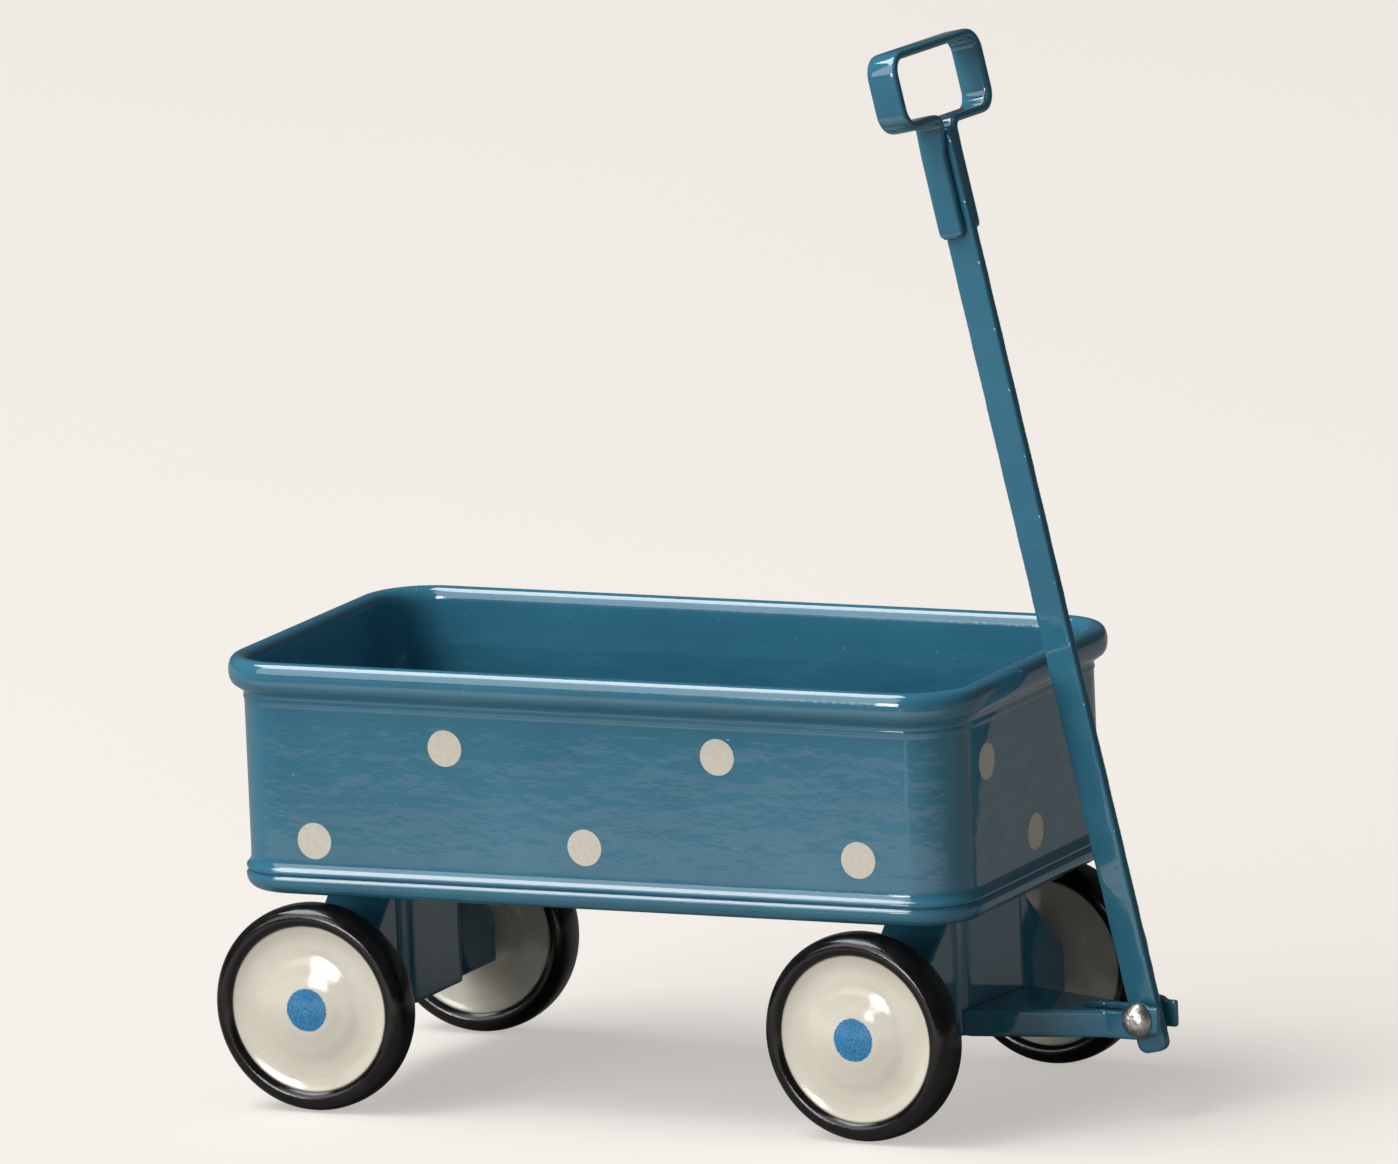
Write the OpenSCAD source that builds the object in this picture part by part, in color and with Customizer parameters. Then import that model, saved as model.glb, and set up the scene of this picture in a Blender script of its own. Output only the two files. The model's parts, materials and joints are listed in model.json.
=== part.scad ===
// Small pressed-steel pull wagon, doll size.
// +X points the way the wagon is pulled, +Y to its left and +Z up.
// The origin is on the ground, under the middle of the whole wagon.

/* [Tub] */
// Length of the tub over its walls
tub_l = 96.4; // [80:0.1:125]
// Width of the tub over its walls
tub_w = 48.4; // [44:0.1:62]
// Radius of the tub's four upright corners, outside
tub_corner_r = 6.8; // [5:0.1:10]
// Height of the tub's wall, from the pan's floor to the middle of the rolled rim
wall_h = 25.8; // [18:0.1:34]
// Thickness of the painted sheet of the tub
wall_t = 0.8; // [0.6:0.05:1.1]
// How far the rolled rim stands out from the wall
rim_out = 1.8; // [1.4:0.1:2.4]
// Half the height of the rolled rim
rim_half_h = 2.1; // [1.9:0.1:2.8]
// How far the pan's edge stands out from the wall
pan_lip = 0.6; // [0.4:0.05:0.9]
// Height of the pan's upturned edge
pan_h = 4.6; // [3.6:0.1:6]
// Radius of the rounded lower edge of the pan
pan_r = 1.7; // [1.3:0.1:2.2]
// Thickness of the pan's floor
pan_t = 1.0; // [0.7:0.05:1.2]
// Gap between the tyres and the pan above them
tyre_clear = 1.0; // [0.7:0.1:5]

/* [Wheels] */
// Outer radius of the tyres
tyre_r = 12.8; // [10.6:0.1:15.4]
// Width of the tyres
tyre_w = 5.2; // [4.4:0.1:6.5]
// Height of the tyre's black band outside the wheel disc
tyre_band = 2.5; // [2:0.1:3.2]
// How far the outer disc is domed
disc_dome = 1.3; // [0.9:0.1:1.6]
// How far the inner disc is domed
inner_dome = 0.9; // [0.6:0.1:1.2]
// Thickness of a wheel disc
disc_t = 0.5; // [0.4:0.05:0.7]
// Radius of the hub spool inside a wheel
hub_r = 2.6; // [2.2:0.1:3.4]
// Distance from the wagon's middle to a tyre's outer face
half_track = 26.0; // [21.6:0.1:31.2]
// Diameter of the axles
axle_d = 2.0; // [1.6:0.1:2.4]
// Distance of the rear axle ahead of the tub's rear wall
rear_inset = 10.0; // [8:0.1:16]
// Distance of the front axle and the king rivet behind the tub's front wall
front_inset = 11.1; // [9:0.1:16]

/* [Axle brackets] */
// Thickness of the painted sheet of the brackets and the tongue
bracket_t = 0.9; // [0.7:0.05:1.1]
// Depth of a bracket's wings, fore and aft
bracket_d = 8.4; // [7.4:0.1:10]
// Width of a bracket's raised middle
saddle_w = 15.6; // [12:0.1:20]
// Depth of a bracket's raised middle, fore and aft
saddle_d = 10.8; // [10.4:0.1:13]
// Radius of the upright bends of the raised middle
saddle_r = 1.6; // [1.2:0.1:2.4]
// Height of the axle above a bracket's lower edge
bracket_drop = 3.0; // [2.6:0.1:4]
// Height of a bracket's outer ends, where the axle goes through
wing_end_h = 6.0; // [5.4:0.1:8]
// Thickness of the washers between the wheels and the brackets
washer_t = 1.4; // [0.8:0.1:2]
// Diameter of the king rivet that the front truck turns on
king_d = 2.5; // [2:0.1:3.2]
// Diameter of the two rivets that hold the rear bracket
bracket_rivet_d = 1.6; // [1.2:0.1:2]
// Angle that the front truck stands turned to
steer_rest = -5; // [-20:1:20]

/* [Tongue and handle] */
// Height of the tongue's sides
tongue_h = 3.5; // [3:0.1:4]
// Width over the tongue's two ears
ears_w = 5.5; // [4.8:0.1:7]
// Diameter of the ears
ear_d = 4.2; // [3.8:0.1:5.4]
// Depth of the handle's rivet below the axle
pivot_drop = 0.45; // [0:0.05:0.7]
// Gap left between the leaning handle and the tub's rim
rim_gap = 1.9; // [1.2:0.1:4]
// Angle that the handle leans back by
lean = 12.7; // [10:0.1:16]
// Width of the handle's flat bar
bar_w = 4.0; // [3.4:0.1:4.8]
// Thickness of the handle's flat bar
bar_t = 1.4; // [1:0.1:1.8]
// Length of the bar above its rivet
bar_l = 110; // [80:0.5:135]
// Length of the bar below its rivet
bar_tail = 4.5; // [3.6:0.1:5.4]
// Width of the grip's loop
grip_w = 22; // [16:0.1:28]
// Height of the grip's loop
grip_h = 9.8; // [8:0.1:15]
// Thickness of the grip's strap
grip_t = 1.1; // [0.9:0.05:1.3]
// Outer radius of the grip's corners
grip_r = 2.8; // [1.8:0.1:3]
// Length of the grip's legs along the bar
grip_leg = 14.5; // [10:0.1:20]
// Diameter of the handle's rivet
rivet_d = 2.0; // [1.6:0.1:2.4]
// Diameter of the heads of the handle's rivet
rivet_head_d = 4.1; // [3.6:0.1:4.8]

/* [Hidden] */
$fn = 64;

blue = [0.24, 0.46, 0.57];
cream = [0.85, 0.83, 0.76];
black = [0.06, 0.06, 0.06];
steel = [0.72, 0.71, 0.69];

// Clearances: round a pin that turns, between flat faces that slide, and where parts only pass.
turn_gap = 0.06;
slide_gap = 0.12;
pass_gap = 0.35;

// Heights and places that follow from the sizes.
axle_z = tyre_r;
tub_z = 2 * tyre_r + tyre_clear;
rim_z = tub_z + pan_t + wall_h;
bracket_z = axle_z - bracket_drop;
pivot_z = axle_z - pivot_drop;
rear_axle_x = -tub_l / 2 + rear_inset;
king_x = tub_l / 2 - front_inset;

// The washers fill the gap between a wheel and its bracket, but for a running gap.
disc_r = tyre_r - tyre_band;
wheel_in = half_track - tyre_w;
bracket_half_w = wheel_in - washer_t - pass_gap;

// The tongue reaches far enough for the leaning bar to pass in front of the rim.
rim_reach = front_inset + rim_out + rim_gap;
tongue_l = rim_reach + (rim_z - pivot_z) * tan(lean) + bar_w / 2 / cos(lean);

// The tongue's web stops short of the bar's tail, which swings between the ears.
tail_reach = sqrt(pow(bar_tail, 2) + pow(bar_w / 2, 2));
notch_gap = 1.9;
web_end = tongue_l - tail_reach - notch_gap;
ear_r = ear_d / 2;
ear_tip = 0.8;
ears_start = tongue_l - ear_r - 2.4;

// The pan's floor steps up inside the wall, which keeps the wall in place.
floor_step = 0.3;
floor_z = tub_z + pan_t + floor_step;

// The heads inside the tub are flat, and each fills a seat that leaves it flush with the floor.
seat_d = 0.5;

king_r = king_d / 2;
king_head_r = 2.3;
king_head_h = 0.9;
king_washer_r = 5;
king_washer_t = 0.6;
truck_top = tub_z - king_washer_t - slide_gap;

rivet_r = rivet_d / 2;
rivet_head_h = 0.9;
bracket_rivet_r = bracket_rivet_d / 2;
bracket_head_r = bracket_rivet_r * 1.6;
bracket_head_h = bracket_rivet_r * 0.6;
bracket_rivet_y = saddle_w / 4;

// The wagon reaches from the rear tyres to the tips of the ears, and the origin is midway.
reach_back = -rear_axle_x + tyre_r;
reach_ahead = king_x + (tongue_l + ear_r + ear_tip) * cos(steer_rest) + ears_w / 2 * abs(sin(steer_rest));
middle_x = (reach_ahead - reach_back) / 2;

// ---- Placing ----

// From the tub's middle into the wagon's frame.
module in_frame() {
    translate([-middle_x, 0, 0]) children();
}

// From the king rivet to where the turned front truck carries it.
module on_truck() {
    in_frame()
        translate([king_x, 0, 0])
            rotate([0, 0, steer_rest])
                children();
}

// From the handle's rivet, with the bar upright, to where the handle leans.
module on_handle() {
    on_truck()
        translate([tongue_l, 0, pivot_z])
            rotate([0, -lean, 0])
                children();
}

// Puts what is drawn about an axle's middle at the rear or the front axle.
module at_axle(front) {
    if (front) {
        on_truck() translate([0, 0, axle_z]) children();
    } else {
        in_frame() translate([rear_axle_x, 0, axle_z]) children();
    }
}

// Puts a wheel, drawn with its inner face on Z = 0 and +Z outwards, at one end of an axle.
module at_wheel(corner) {
    front = corner >= 2;
    side = (corner % 2 == 0) ? 1 : -1;
    at_axle(front)
        translate([0, side * wheel_in, 0])
            rotate([-side * 90, 0, 0])
                children();
}

// ---- Shared shapes ----

// A rectangle with round corners, from squares and circles so that its arcs stay true.
module round_plan(l, w, r) {
    square([l - 2 * r, w], center = true);
    square([l, w - 2 * r], center = true);
    for (sx = [-1, 1], sy = [-1, 1])
        translate([sx * (l / 2 - r), sy * (w / 2 - r)]) circle(r);
}

module round_block(l, w, r, z0, z1) {
    translate([0, 0, z0])
        linear_extrude(z1 - z0)
            round_plan(l, w, r);
}

// A cylinder along Y, centred on the origin.
module cross_rod(r, l) {
    rotate([90, 0, 0]) cylinder(h = l, r = r, center = true);
}

// A low domed rivet head standing on Z = 0.
module dome_head(r, h) {
    ball_r = (r * r + h * h) / (2 * h);
    intersection() {
        translate([0, 0, h - ball_r]) sphere(ball_r);
        cylinder(h = h + 1, r = r);
    }
}

// Carries a section round the tub: its X runs out from the wall's face and its Y is the height.
module round_the_tub() {
    straight_l = tub_l - 2 * tub_corner_r;
    straight_w = tub_w - 2 * tub_corner_r;
    for (turn = [0, 180]) {
        rotate([0, 0, turn])
            translate([-straight_l / 2, -tub_w / 2, 0])
                rotate([90, 0, 90])
                    linear_extrude(straight_l)
                        mirror([1, 0]) children();
        rotate([0, 0, turn])
            translate([tub_l / 2, straight_w / 2, 0])
                rotate([90, 0, 0])
                    linear_extrude(straight_w)
                        children();
    }
    for (corner = [0 : 3]) {
        sx = (corner == 0 || corner == 3) ? 1 : -1;
        sy = (corner < 2) ? 1 : -1;
        translate([sx * straight_l / 2, sy * straight_w / 2, 0])
            rotate([0, 0, corner * 90])
                rotate_extrude(angle = 90)
                    translate([tub_corner_r, 0]) children();
    }
}

// ---- Tub ----

// The upright oval of the rolled edge, smaller by inset all round.
module rim_oval(inset) {
    r = (rim_out + wall_t) / 2;
    rise = rim_half_h - r;
    translate([(rim_out - wall_t) / 2, 0]) {
        for (side = [-1, 1])
            translate([0, side * rise]) circle(r - inset);
        square([2 * (r - inset), 2 * rise], center = true);
    }
}

// Tub wall: one bent strip whose upper edge is curled outwards into a hollow bead.
module tub_shell() {
    curl_t = wall_t * 0.6;
    curl_gap = wall_t * 0.4;
    color(blue) in_frame() {
        difference() {
            round_block(tub_l, tub_w, tub_corner_r, tub_z + pan_t, rim_z);
            round_block(
                tub_l - 2 * wall_t, tub_w - 2 * wall_t, tub_corner_r - wall_t,
                tub_z, rim_z + 1
            );
        }
        translate([0, 0, rim_z])
            round_the_tub()
                difference() {
                    rim_oval(0);
                    rim_oval(curl_t);
                    translate([0, -rim_half_h - 1]) square([curl_gap, rim_half_h]);
                }
    }
}

// Section of the pan's edge: a quarter round below and the upturned lip above it.
module pan_edge() {
    floor_end = pan_lip - pan_r;
    difference() {
        intersection() {
            translate([floor_end, pan_r]) circle(pan_r);
            translate([floor_end, 0]) square(pan_r);
        }
        translate([floor_end - 1, pan_t]) square([1 - floor_end, pan_r]);
    }
    translate([0, pan_r]) square([pan_lip, pan_h - pan_r]);
}

// A hole through the pan for a rivet, with the seat of its flat head above.
module rivet_hole(shank_r, head_r) {
    translate([0, 0, tub_z - 1]) cylinder(h = pan_t + floor_step + 2, r = shank_r);
    translate([0, 0, floor_z - seat_d]) cylinder(h = seat_d + 1, r = head_r);
}

// Floor pan: a shallow pressed tray. The wall stands round its raised floor, inside its upturned edge.
module floor_pan() {
    floor_l = tub_l + 2 * (pan_lip - pan_r);
    floor_w = tub_w + 2 * (pan_lip - pan_r);
    color(blue) in_frame() {
        difference() {
            union() {
                round_block(floor_l, floor_w, tub_corner_r + pan_lip - pan_r, tub_z, tub_z + pan_t);
                round_block(
                    tub_l - 2 * wall_t, tub_w - 2 * wall_t, tub_corner_r - wall_t,
                    tub_z + pan_t / 2, floor_z
                );
            }
            translate([king_x, 0, 0]) rivet_hole(king_r, king_head_r);
            for (side = [-1, 1])
                translate([rear_axle_x, side * bracket_rivet_y, 0])
                    rivet_hole(bracket_rivet_r, bracket_head_r);
        }
        translate([0, 0, tub_z])
            round_the_tub() pan_edge();
    }
}

// ---- Axle brackets ----

// Front view of a bracket: upright outer ends, shoulders that slope up, and a flat top.
module bracket_face(top, half_w, end_top, top_half_w) {
    polygon([
        [-half_w, bracket_z], [half_w, bracket_z], [half_w, end_top],
        [top_half_w, top], [-top_half_w, top], [-half_w, end_top]
    ]);
}

// A pressed bracket, open below: two wings for the axle and a raised middle that carries the load.
module bracket(top) {
    end_top = bracket_z + wing_end_h;
    run = bracket_half_w - saddle_w / 2;
    rise = top - end_top;
    slope = atan(rise / run);
    drop = bracket_t / cos(slope);
    inner_end_top = end_top + bracket_t * tan(slope) - drop;
    inner_top_half_w = saddle_w / 2 + (bracket_t - drop) / tan(slope);
    difference() {
        union() {
            rotate([90, 0, 90])
                linear_extrude(bracket_d, center = true)
                    bracket_face(top, bracket_half_w, end_top, saddle_w / 2);
            round_block(saddle_d, saddle_w, saddle_r, bracket_z, top);
        }
        rotate([90, 0, 90])
            linear_extrude(bracket_d - 2 * bracket_t, center = true)
                bracket_face(top - bracket_t, bracket_half_w - bracket_t, inner_end_top, inner_top_half_w);
        round_block(
            saddle_d - 2 * bracket_t, saddle_w - 2 * bracket_t, saddle_r - bracket_t,
            bracket_z - 1, top - bracket_t
        );
        translate([0, 0, bracket_z - 1])
            linear_extrude(2)
                square([bracket_d - 2 * bracket_t, 2 * (bracket_half_w - bracket_t)], center = true);
        translate([0, 0, axle_z])
            cross_rod(axle_d / 2 + turn_gap, 2 * bracket_half_w + 2);
    }
}

// Rear bracket: fixed, riveted up against the pan.
module rear_bracket() {
    color(blue) in_frame() translate([rear_axle_x, 0, 0])
        difference() {
            bracket(tub_z);
            for (side = [-1, 1])
                translate([0, side * bracket_rivet_y, tub_z - 2 * bracket_t])
                    cylinder(h = 3 * bracket_t, r = bracket_rivet_r);
        }
}

// Two small solid rivets through the pan and the rear bracket.
module bracket_rivets() {
    shank_z = tub_z - bracket_t;
    color(blue) in_frame()
        for (side = [-1, 1])
            translate([rear_axle_x, side * bracket_rivet_y, 0]) {
                translate([0, 0, shank_z]) cylinder(h = floor_z - shank_z, r = bracket_rivet_r);
                translate([0, 0, floor_z - seat_d]) cylinder(h = seat_d, r = bracket_head_r);
                translate([0, 0, shank_z])
                    mirror([0, 0, 1]) dome_head(bracket_head_r, bracket_head_h);
            }
}

// King rivet: hangs the front truck from the pan and lets it turn.
module king_rivet() {
    shank_z = truck_top - bracket_t - slide_gap;
    color(blue) in_frame() translate([king_x, 0, 0]) {
        translate([0, 0, shank_z]) cylinder(h = floor_z - shank_z, r = king_r);
        translate([0, 0, floor_z - seat_d]) cylinder(h = seat_d, r = king_head_r);
        translate([0, 0, shank_z])
            mirror([0, 0, 1]) dome_head(king_head_r, king_head_h);
    }
}

// Washer that keeps the truck's top off the pan.
module king_washer() {
    color(steel) in_frame() translate([king_x, 0, tub_z - king_washer_t])
        difference() {
            cylinder(h = king_washer_t, r = king_washer_r);
            translate([0, 0, -1]) cylinder(h = king_washer_t + 2, r = king_r);
        }
}

// Front bracket: the same pressing, hung on the king rivet so that it steers.
module front_bracket() {
    color(blue) on_truck()
        difference() {
            bracket(truck_top);
            translate([0, 0, truck_top - 2 * bracket_t])
                cylinder(h = 3 * bracket_t, r = king_r + turn_gap);
        }
}

// ---- Tongue and handle ----

// Plan of the tongue's taper, from the bracket's face to the ears.
module tongue_plan(inset) {
    start_x = bracket_d / 2;
    polygon([
        [start_x - 2 * inset, -saddle_w / 2 + inset], [ears_start + 2 * inset, -ears_w / 2 + inset],
        [ears_start + 2 * inset, ears_w / 2 - inset], [start_x - 2 * inset, saddle_w / 2 - inset]
    ]);
}

// Tongue: a tapered channel, open below, welded to the front bracket. Two ears hold the handle.
module tongue() {
    color(blue) on_truck()
        difference() {
            union() {
                difference() {
                    translate([0, 0, bracket_z])
                        linear_extrude(tongue_h) tongue_plan(0);
                    translate([0, 0, bracket_z - 1])
                        linear_extrude(tongue_h + 1 - bracket_t) tongue_plan(bracket_t);
                    translate([web_end, -ears_w / 2 + bracket_t, bracket_z - 1])
                        cube([tongue_l, ears_w - 2 * bracket_t, tongue_h + 2]);
                    translate([web_end, 0, bracket_z - 1])
                        cylinder(h = tongue_h + 2, r = ears_w / 2 - bracket_t);
                }
                for (side = [-1, 1])
                    translate([0, side * (ears_w - bracket_t) / 2, 0]) {
                        translate([ears_start, -bracket_t / 2, bracket_z])
                            cube([tongue_l - ears_start, bracket_t, tongue_h]);
                        translate([tongue_l, 0, pivot_z]) cross_rod(ear_r, bracket_t);
                        translate([tongue_l, -bracket_t / 2, pivot_z - ear_r * 0.8])
                            cube([ear_r + ear_tip, bracket_t, ear_r * 1.6]);
                    }
            }
            round_block(saddle_d, saddle_w, saddle_r, 0, tub_z);
            translate([tongue_l, 0, pivot_z]) cross_rod(rivet_r, ears_w + 2);
        }
}

// Handle rivet: a plain steel shank through both ears and the bar, with a domed head each side.
module handle_rivet() {
    color(steel) on_truck() translate([tongue_l, 0, pivot_z]) {
        cross_rod(rivet_r, ears_w);
        for (side = [-1, 1])
            translate([0, side * ears_w / 2, 0])
                rotate([-side * 90, 0, 0])
                    dome_head(rivet_head_d / 2, rivet_head_h);
    }
}

// Handle bar: a flat bar, bored near its lower end.
module handle_bar() {
    bar_round = bar_w * 0.3;
    color(blue) on_handle()
        difference() {
            translate([0, bar_t / 2, (bar_l - bar_tail) / 2])
                rotate([90, 0, 0])
                    linear_extrude(bar_t)
                        round_plan(bar_w, bar_l + bar_tail, bar_round);
            cross_rod(rivet_r + turn_gap, bar_t + 2);
        }
}

// Grip: one strap bent into a loop, its two legs lying on the bar's faces.
module grip_strap() {
    loop_z = bar_l + 1.2;
    bend_in = 0.6;
    bend_y = bar_t / 2 + grip_t + bend_in;
    color(blue) on_handle()
        rotate([90, 0, 90])
            linear_extrude(bar_w, center = true) {
                difference() {
                    translate([0, loop_z + grip_h / 2])
                        round_plan(grip_w, grip_h, grip_r);
                    translate([0, loop_z + grip_h / 2])
                        round_plan(grip_w - 2 * grip_t, grip_h - 2 * grip_t, grip_r - grip_t);
                    translate([-bend_y, loop_z - 1]) square([2 * bend_y, grip_t + 2]);
                }
                for (side = [0, 1])
                    mirror([side, 0]) {
                        translate([bend_y, loop_z - bend_in])
                            intersection() {
                                difference() {
                                    circle(bend_in + grip_t);
                                    circle(bend_in);
                                }
                                translate([-2 * bend_y, 0]) square(2 * bend_y);
                            }
                        translate([bar_t / 2, loop_z - grip_leg])
                            square([grip_t, grip_leg - bend_in]);
                    }
            }
}

// ---- Wheels ----

// An axle: a plain rod that turns in its bracket, with a wheel pressed on each end.
module axle(front) {
    end_in = 1.2;
    color(steel) at_axle(front)
        cross_rod(axle_d / 2, 2 * (half_track - end_in));
}

// The pair of washers on one axle, between its bracket and its wheels.
module axle_washers(front) {
    color(steel) at_axle(front)
        for (side = [-1, 1])
            translate([0, side * (wheel_in - washer_t / 2), 0])
                difference() {
                    cross_rod(axle_d, washer_t);
                    cross_rod(axle_d / 2, washer_t + 2);
                }
}

// Radius of the ball that a dished disc's outer face lies on.
function dish_ball_r(dome) = (disc_r * disc_r + dome * dome) / (2 * dome);

// How far a dished disc's inner face falls away at the hub's edge.
function dish_sag(dome) =
    let (ball_r = dish_ball_r(dome) - disc_t)
    ball_r - sqrt(ball_r * ball_r - hub_r * hub_r);

// A thin dished disc: its crown is at Z = crown and it falls away by dome towards its edge.
module dished_disc(crown, dome) {
    ball_r = dish_ball_r(dome);
    intersection() {
        difference() {
            translate([0, 0, crown - ball_r]) sphere(ball_r, $fn = 128);
            translate([0, 0, crown - ball_r]) sphere(ball_r - disc_t, $fn = 128);
        }
        translate([0, 0, crown - 4 * dome]) cylinder(h = 5 * dome, r = disc_r);
    }
}

outer_crown = tyre_w + 0.2;
// The tyre's bead fills the space between the edges of the discs, short of their dished faces.
bead_gap = 0.1;
outer_edge = outer_crown - disc_dome - disc_t - bead_gap;
inner_edge = inner_dome + disc_t + bead_gap;

// Tyre: a moulded ring with round shoulders. The two discs clamp the bead inside it.
module tyre(corner) {
    shoulder = 1.7;
    bead_w = outer_edge - inner_edge;
    bead_in = 1.2;
    color(black) at_wheel(corner)
        rotate_extrude($fn = 128) {
            translate([disc_r, 0]) square([tyre_band - shoulder, tyre_w]);
            translate([disc_r, shoulder]) square([tyre_band, tyre_w - 2 * shoulder]);
            for (flip = [0, 1])
                translate([0, flip * tyre_w])
                    mirror([0, flip])
                        intersection() {
                            translate([tyre_r - shoulder, shoulder]) circle(shoulder);
                            translate([tyre_r - shoulder, 0]) square(shoulder);
                        }
            translate([disc_r - bead_in, inner_edge]) square([bead_in, bead_w]);
        }
}

// Outer disc: a domed pressing that hides the end of the axle.
module outer_disc(corner) {
    color(cream) at_wheel(corner)
        dished_disc(outer_crown, disc_dome);
}

// Inner disc: a shallower pressing, bored for the axle.
module inner_disc(corner) {
    color(cream) at_wheel(corner)
        difference() {
            mirror([0, 0, 1]) dished_disc(0, inner_dome);
            translate([0, 0, -1]) cylinder(h = inner_edge + 2, r = axle_d / 2);
        }
}

// Hub: a spool pressed on the axle's end. Its ends' rims meet the dished faces of the two discs.
module hub(corner) {
    inner_end = disc_t + dish_sag(inner_dome);
    outer_end = outer_crown - disc_t - dish_sag(disc_dome);
    bore_l = tyre_w - 1.2;
    color(steel) at_wheel(corner)
        difference() {
            translate([0, 0, inner_end])
                cylinder(h = outer_end - inner_end, r = hub_r);
            cylinder(h = bore_l, r = axle_d / 2);
        }
}

tub_shell();
floor_pan();
rear_bracket();
bracket_rivets();
king_rivet();
king_washer();
front_bracket();
tongue();
handle_rivet();
handle_bar();
grip_strap();
axle(false);  // rear_axle
axle_washers(false);  // rear_washers
axle(true);  // front_axle
axle_washers(true);  // front_washers
tyre(0);  // tyre_rear_left
tyre(1);  // tyre_rear_right
tyre(2);  // tyre_front_left
tyre(3);  // tyre_front_right
outer_disc(0);  // outer_disc_rear_left
outer_disc(1);  // outer_disc_rear_right
outer_disc(2);  // outer_disc_front_left
outer_disc(3);  // outer_disc_front_right
inner_disc(0);  // inner_disc_rear_left
inner_disc(1);  // inner_disc_rear_right
inner_disc(2);  // inner_disc_front_left
inner_disc(3);  // inner_disc_front_right
hub(0);  // hub_rear_left
hub(1);  // hub_rear_right
hub(2);  // hub_front_left
hub(3);  // hub_front_right
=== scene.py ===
"""Doll-size pull wagon of pressed steel in thick blue enamel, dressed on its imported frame."""
import json
import math

import bmesh
import bpy
from mathutils import Matrix, Vector


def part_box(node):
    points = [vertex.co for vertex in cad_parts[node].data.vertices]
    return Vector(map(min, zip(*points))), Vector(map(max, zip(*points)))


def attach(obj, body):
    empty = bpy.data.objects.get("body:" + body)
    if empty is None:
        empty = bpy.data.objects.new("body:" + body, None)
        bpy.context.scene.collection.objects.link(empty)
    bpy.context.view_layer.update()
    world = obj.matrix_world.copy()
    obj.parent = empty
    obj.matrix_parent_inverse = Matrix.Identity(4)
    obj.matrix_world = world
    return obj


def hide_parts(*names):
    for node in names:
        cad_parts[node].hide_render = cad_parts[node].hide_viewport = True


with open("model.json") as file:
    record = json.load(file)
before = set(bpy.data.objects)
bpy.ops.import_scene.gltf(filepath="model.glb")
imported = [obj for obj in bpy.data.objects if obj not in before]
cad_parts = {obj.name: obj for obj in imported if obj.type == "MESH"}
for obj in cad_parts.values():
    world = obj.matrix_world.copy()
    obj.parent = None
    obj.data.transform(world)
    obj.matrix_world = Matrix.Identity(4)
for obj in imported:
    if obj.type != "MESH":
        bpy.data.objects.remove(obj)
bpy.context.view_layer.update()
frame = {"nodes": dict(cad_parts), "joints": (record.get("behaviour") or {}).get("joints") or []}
MM = 0.001

# ---- Tub wall ----
# One bent strip of sheet steel. Its upper edge is curled outwards into a hollow bead, its lower edge
# stands in the floor pan, and gloss enamel, laid on thick, rounds every edge.
tub_low, tub_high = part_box("tub_shell")
rim_out = 1.8
wall_t = 0.8
wall_corner_r = 6.8
bead_half_h = 2.1
wall_half_l = (tub_high.x - tub_low.x) / 2 / MM - rim_out
wall_half_w = (tub_high.y - tub_low.y) / 2 / MM - rim_out
tub_mid_x = (tub_high.x + tub_low.x) / 2 / MM
bead_z = tub_high.z / MM - bead_half_h
bead_low_z = bead_z - bead_half_h
floor_top_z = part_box("king_rivet")[1].z / MM
pan_bottom_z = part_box("floor_pan")[0].z / MM
joint_z = pan_bottom_z + 2.4


def plan_ring(out, z):
    """Points round the tub, out from the wall's face by out, at height z, in millimetres."""
    corner_steps, long_steps, short_steps = 14, 40, 18
    r = max(wall_corner_r + out, 0.4)
    along = wall_half_l + out - r
    across = wall_half_w + out - r
    ring = []
    for turn, (sx, sy) in enumerate([(1, 1), (-1, 1), (-1, -1), (1, -1)]):
        for step in range(corner_steps):
            angle = math.pi / 2 * (turn + step / corner_steps)
            ring.append((sx * along + r * math.cos(angle), sy * across + r * math.sin(angle)))
        is_long = turn % 2 == 0
        steps = long_steps if is_long else short_steps
        corner_end = math.pi / 2 * (turn + 1)
        start = (sx * along + r * math.cos(corner_end), sy * across + r * math.sin(corner_end))
        run = (-2 * along * sx, 0) if is_long else (0, -2 * across * sy)
        for step in range(steps):
            ring.append((start[0] + run[0] * step / steps, start[1] + run[1] * step / steps))
    return [Vector((tub_mid_x + x, y, z)) * MM for x, y in ring]


def skin(name, rings, closed):
    """A smooth closed mesh over rings of equally many points. Open ends are closed by a fan."""
    mesh = bmesh.new()
    rows = [[mesh.verts.new(point) for point in ring] for ring in rings]
    pairs = list(zip(rows, rows[1:] + rows[:1])) if closed else list(zip(rows, rows[1:]))
    for low, high in pairs:
        for i in range(len(low)):
            j = (i + 1) % len(low)
            mesh.faces.new((low[i], low[j], high[j], high[i]))
    if not closed:
        caps = [mesh.faces.new(rows[0]), mesh.faces.new(rows[-1])]
        bmesh.ops.poke(mesh, faces=caps)
    bmesh.ops.remove_doubles(mesh, verts=mesh.verts, dist=1e-7)
    bmesh.ops.recalc_face_normals(mesh, faces=mesh.faces)
    data = bpy.data.meshes.new(name)
    mesh.to_mesh(data)
    mesh.free()
    for face in data.polygons:
        face.use_smooth = True
    piece = bpy.data.objects.new(name, data)
    bpy.context.scene.collection.objects.link(piece)
    return piece


def arc(centre, radii, start, end, steps, power=1.0):
    """Points on an oval from angle start to end, in degrees. A power under 1 makes it squarer."""
    points = []
    for i in range(steps + 1):
        angle = math.radians(start + (end - start) * i / steps)
        c, s = math.cos(angle), math.sin(angle)
        points.append((centre[0] + radii[0] * math.copysign(abs(c) ** power, c),
                       centre[1] + radii[1] * math.copysign(abs(s) ** power, s)))
    return points


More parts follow.
